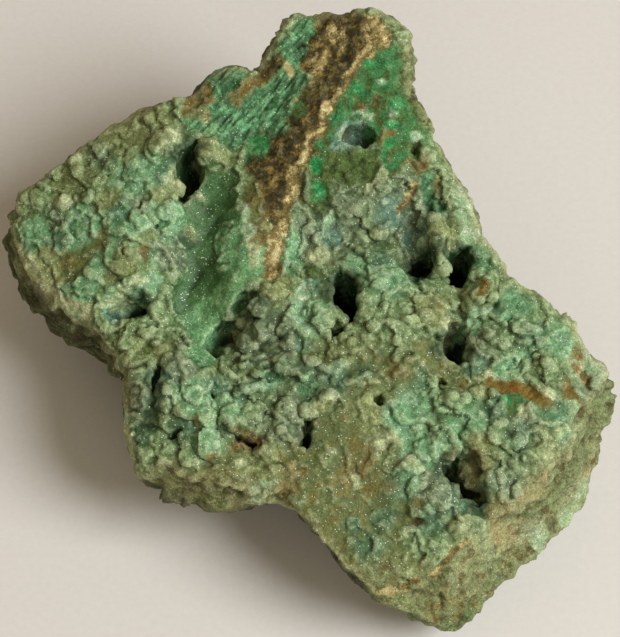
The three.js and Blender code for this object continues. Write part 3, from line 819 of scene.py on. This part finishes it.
def colourLayer(mesh, name, rgb):
    layer = mesh.color_attributes.new(name, "FLOAT_COLOR", "POINT")
    values = np.ones((len(mesh.vertices), 4))
    values[:, :3] = rgb
    layer.data.foreach_set("color", values.ravel())


# Each colour further from the grey that is as bright.
def stronger(colour):
    grey = (colour @ np.array(paint["luma"]))[:, None]
    return np.clip(grey + (colour - grey) * paint["chroma"], 0, 1)


# A colour with painted highlights on the edges that stand out, made paler, and painted shade in the creases,
# made darker.
def paintedHighlightAndShade(colour, paintedHighlight, paintedShade):
    added, kept = paint["highlightShares"]
    pale = np.array(linear(paint["highlightColour"])) * added + colour * kept
    colour = colour * (1 - paintedHighlight[:, None]) + pale * paintedHighlight[:, None]
    added, kept = paint["shadeShares"]
    dark = colour * kept + np.array(linear(paint["paintedShade"])) * added
    return np.clip(colour * (1 - paintedShade[:, None]) + dark * paintedShade[:, None], 0, 1)


# Paints the grounds, their flecks and their finish on the surface, with painted highlights on edges that
# stand out and painted shade in creases and hollows.
def paintBlock(block, plain):
    mesh = block.data
    points, outward = positions(mesh), normals(mesh)
    flank, mix = groundsOf(mesh, points, plain)
    # How far each point lies above the surface smoothed a little and smoothed much, which sets the painted
    # highlights and the painted shade.
    near, far = (np.einsum("ij,ij->i", points - smoothed(mesh, points, rounds), outward)
                 for rounds in paint["reliefRounds"])
    proudFar = smoothstep(far, *paint["proudFar"]) * paint["proudFarShare"]
    proud = np.clip(smoothstep(near, *paint["proudNear"]) + proudFar, 0, 1)
    sunkNear = smoothstep(-near, *paint["sunkNear"]) * paint["sunkNearShare"]
    sunk = np.clip(sunkNear + smoothstep(-far, *paint["sunkFar"]), 0, 1)
    crust = np.clip(mix[:, columns["sparkle"]], 0, 1)
    # painted highlight on the edges that stand out, weaker where there is no crust
    paintedHighlight = proud * paint["highlightStrength"] * (paint["bareHighlight"] + (1 - paint["bareHighlight"]) * crust)
    # painted shade in fine creases and broad hollows
    paintedShade = sunk * paint["shadeStrength"]
    mottle = 1 + sum(strength * noiseAt(points, width, shift) for strength, width, shift in paint["mottles"])
    tone = mottle[:, None] * np.array(paint["gain"])
    rim = paint["rimStrength"] * np.clip(4 * flank * (1 - flank), 0, 1)
    rim = (rim * smoothstep(points[:, 2], *paint["rimHeights"]))[:, None]
    tint = mix[:, columns["tint"]] * (1 - rim) + np.array(linear(paint["rim"])) * rim
    colourLayer(mesh, "tint", paintedHighlightAndShade(stronger(tint) * tone, paintedHighlight, paintedShade))
    colourLayer(mesh, "fleck", paintedHighlightAndShade(stronger(mix[:, columns["fleck"]]) * tone, paintedHighlight, paintedShade))
    finish = [mix[:, columns["grain"]] / 2, mix[:, columns["sparkle"]] / 2, np.zeros(len(points))]
    colourLayer(mesh, "finish", np.stack(finish, axis=1))
    print("painted")


stone = {
    "fleckScale": 520.0,       # cells to a metre
    "fleckEdge": (0.47, 0.60),
    "fleckRoughness": 0.75,
    "mottleScale": 2300.0,
    "mottleShare": 0.42,       # how much the mottle darkens and lightens
    "mottleRoughness": 0.6,
    "crackCells": 9.0,         # cells across the whole swing of the fleck noise
    "crackWidth": 0.045,
    "crackDepth": 0.65,
    "crystalScale": 5200.0,
    "crystalShare": 0.32,
    "glintShare": 0.06,
    # painted glint: a pale colour on a few tiny crystals of the crust, for light glinting off them
    "paintedGlint": (0.86, 0.92, 0.82, 1),
    "bumpDepth": 0.00024,
    "specular": 0.3,
    "bumpStrength": 0.6,
    "facetShare": 0.4,
    "rockBump": (2.0, 0.3),    # with and without grain
    "roughness": (-0.4, 0.74), # change with the crust, and that of bare rock
    "glintRoughness": -0.3,
    "glintMiddle": 0.4,
    "depth": 0.06,             # share of the light that soaks in
    "depthRadius": (0.4, 0.7, 0.35),  # how far, in millimetres for each colour
}


def addNode(material, kind, **values):
    node = material.node_tree.nodes.new(kind)
    for key, value in values.items():
        node.inputs[key.replace("_", " ")].default_value = value
    return node


def mathNode(material, operation, *values):
    node = material.node_tree.nodes.new("ShaderNodeMath")
    node.operation = operation
    for socket, value in zip(node.inputs, values):
        if isinstance(value, (int, float)):
            socket.default_value = value
        else:
            material.node_tree.links.new(value, socket)
    return node.outputs[0]


def attributeNode(material, layer):
    node = material.node_tree.nodes.new("ShaderNodeVertexColor")
    node.layer_name = layer
    return node.outputs["Color"]


def mixNode(material, share, first, second):
    node = material.node_tree.nodes.new("ShaderNodeMix")
    node.data_type = "RGBA"
    for name, value in (("Factor", share), ("A", first), ("B", second)):
        if isinstance(value, tuple):
            node.inputs[name].default_value = value
        else:
            material.node_tree.links.new(value, node.inputs[name])
    return node.outputs["Result"]


def textureNode(material, kind, place, **values):
    node = addNode(material, kind, **values)
    material.node_tree.links.new(place, node.inputs["Vector"])
    return node


# A share that goes from 0 to 1 as the value goes from low to high.
def stepNode(material, value, low, high):
    node = addNode(material, "ShaderNodeMapRange", From_Min=low, From_Max=high)
    node.interpolation_type = "SMOOTHSTEP"
    material.node_tree.links.new(value, node.inputs["Value"])
    return node.outputs["Result"]


# The painted colour with its flecks, a fine mottle, a tone for each crystal, and dark cracks in rough ground.
def stoneColour(material, place, mottle, crystal, grain):
    flecks = textureNode(material, "ShaderNodeTexNoise", place, Scale=stone["fleckScale"], Detail=6.0,
                         Roughness=stone["fleckRoughness"])
    share = stepNode(material, flecks.outputs["Fac"], *stone["fleckEdge"])
    colour = mixNode(material, share, attributeNode(material, "tint"), attributeNode(material, "fleck"))
    cracks = textureNode(material, "ShaderNodeTexVoronoi", flecks.outputs["Color"], Scale=stone["crackCells"])
    cracks.feature = "DISTANCE_TO_EDGE"
    line = mathNode(material, "LESS_THAN", cracks.outputs["Distance"], stone["crackWidth"])
    dark = mathNode(material, "MULTIPLY", mathNode(material, "MULTIPLY", line, grain), stone["crackDepth"])
    depth = mathNode(material, "MULTIPLY_ADD", mottle, 2 * stone["mottleShare"], 1 - stone["mottleShare"])
    tone = mathNode(material, "MULTIPLY", depth, mathNode(material, "SUBTRACT", 1.0, dark))
    facing = mathNode(material, "MULTIPLY_ADD", crystal, 2 * stone["crystalShare"], 1 - stone["crystalShare"])
    tone = mathNode(material, "MULTIPLY", tone, facing)
    toned = material.node_tree.nodes.new("ShaderNodeVectorMath")
    toned.operation = "SCALE"
    material.node_tree.links.new(colour, toned.inputs[0])
    material.node_tree.links.new(tone, toned.inputs["Scale"])
    return toned.outputs["Vector"]


# Where the painted glints go: a few of the tiny crystals, as a share of the crust, and only the middle of
# each.
def glintsNode(material, crystals, pick, crust):
    limit = mathNode(material, "MULTIPLY", crust, stone["glintShare"])
    chosen = mathNode(material, "LESS_THAN", pick, limit)
    middle = mathNode(material, "LESS_THAN", crystals.outputs["Distance"], stone["glintMiddle"])
    return mathNode(material, "MULTIPLY", chosen, middle)


# Painted crust and rock with flecks, crystal grain, and painted glints on a few tiny crystals, which are also
# smoother.
def stoneMaterial():
    material = bpy.data.materials.new("garnierite")
    material.use_nodes = True
    nodes, links = material.node_tree.nodes, material.node_tree.links
    shader = nodes["Principled BSDF"]
    shader.inputs["Specular IOR Level"].default_value = stone["specular"]
    shader.inputs["Subsurface Weight"].default_value = stone["depth"]
    shader.inputs["Subsurface Radius"].default_value = stone["depthRadius"]
    shader.inputs["Subsurface Scale"].default_value = mm
    place = nodes.new("ShaderNodeTexCoord").outputs["Object"]
    parts = nodes.new("ShaderNodeSeparateColor")
    links.new(attributeNode(material, "finish"), parts.inputs["Color"])
    grain, crust = parts.outputs["Red"], parts.outputs["Green"]
    mottle = textureNode(material, "ShaderNodeTexNoise", place, Scale=stone["mottleScale"], Detail=3.0,
                         Roughness=stone["mottleRoughness"])
    crystals = textureNode(material, "ShaderNodeTexVoronoi", place, Scale=stone["crystalScale"])

    chance = nodes.new("ShaderNodeSeparateColor")
    links.new(crystals.outputs["Color"], chance.inputs["Color"])
    colour = stoneColour(material, place, mottle.outputs["Fac"], chance.outputs["Green"], grain)
    paintedGlint = glintsNode(material, crystals, chance.outputs["Red"], crust)
    # painted glints: pale dots mixed into the colour
    links.new(mixNode(material, paintedGlint, colour, stone["paintedGlint"]), shader.inputs["Base Color"])
    rough = mathNode(material, "MULTIPLY_ADD", crust, *stone["roughness"])
    rough = mathNode(material, "MULTIPLY_ADD", paintedGlint, stone["glintRoughness"], rough)
    links.new(rough, shader.inputs["Roughness"])

    facets = mathNode(material, "MULTIPLY", crystals.outputs["Distance"], stone["facetShare"])
    coarse = mathNode(material, "MULTIPLY_ADD", grain, *stone["rockBump"])
    rock = mathNode(material, "MULTIPLY", mottle.outputs["Fac"], coarse)
    bump = addNode(material, "ShaderNodeBump", Strength=stone["bumpStrength"], Distance=stone["bumpDepth"])
    links.new(mathNode(material, "ADD", facets, rock), bump.inputs["Height"])
    links.new(bump.outputs["Normal"], shader.inputs["Normal"])
    return material


def shapeBlock(plain):
    block = copyBlock()
    cutGaps(block)
    addKnobs(block)
    remesh(block)
    addRelief(block, plain)
    thin(block)
    activate(block)
    bpy.ops.object.shade_smooth()
    return block


def finishBlock(block, plain):
    paintBlock(block, plain)
    block.data.materials.append(stoneMaterial())
    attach(block, "root")
    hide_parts(shape["node"])


addCamera()
addLights()
addTable()
noise.seed_set(shape["seed"])
plain = plainBlock()
finishBlock(shapeBlock(plain), plain)
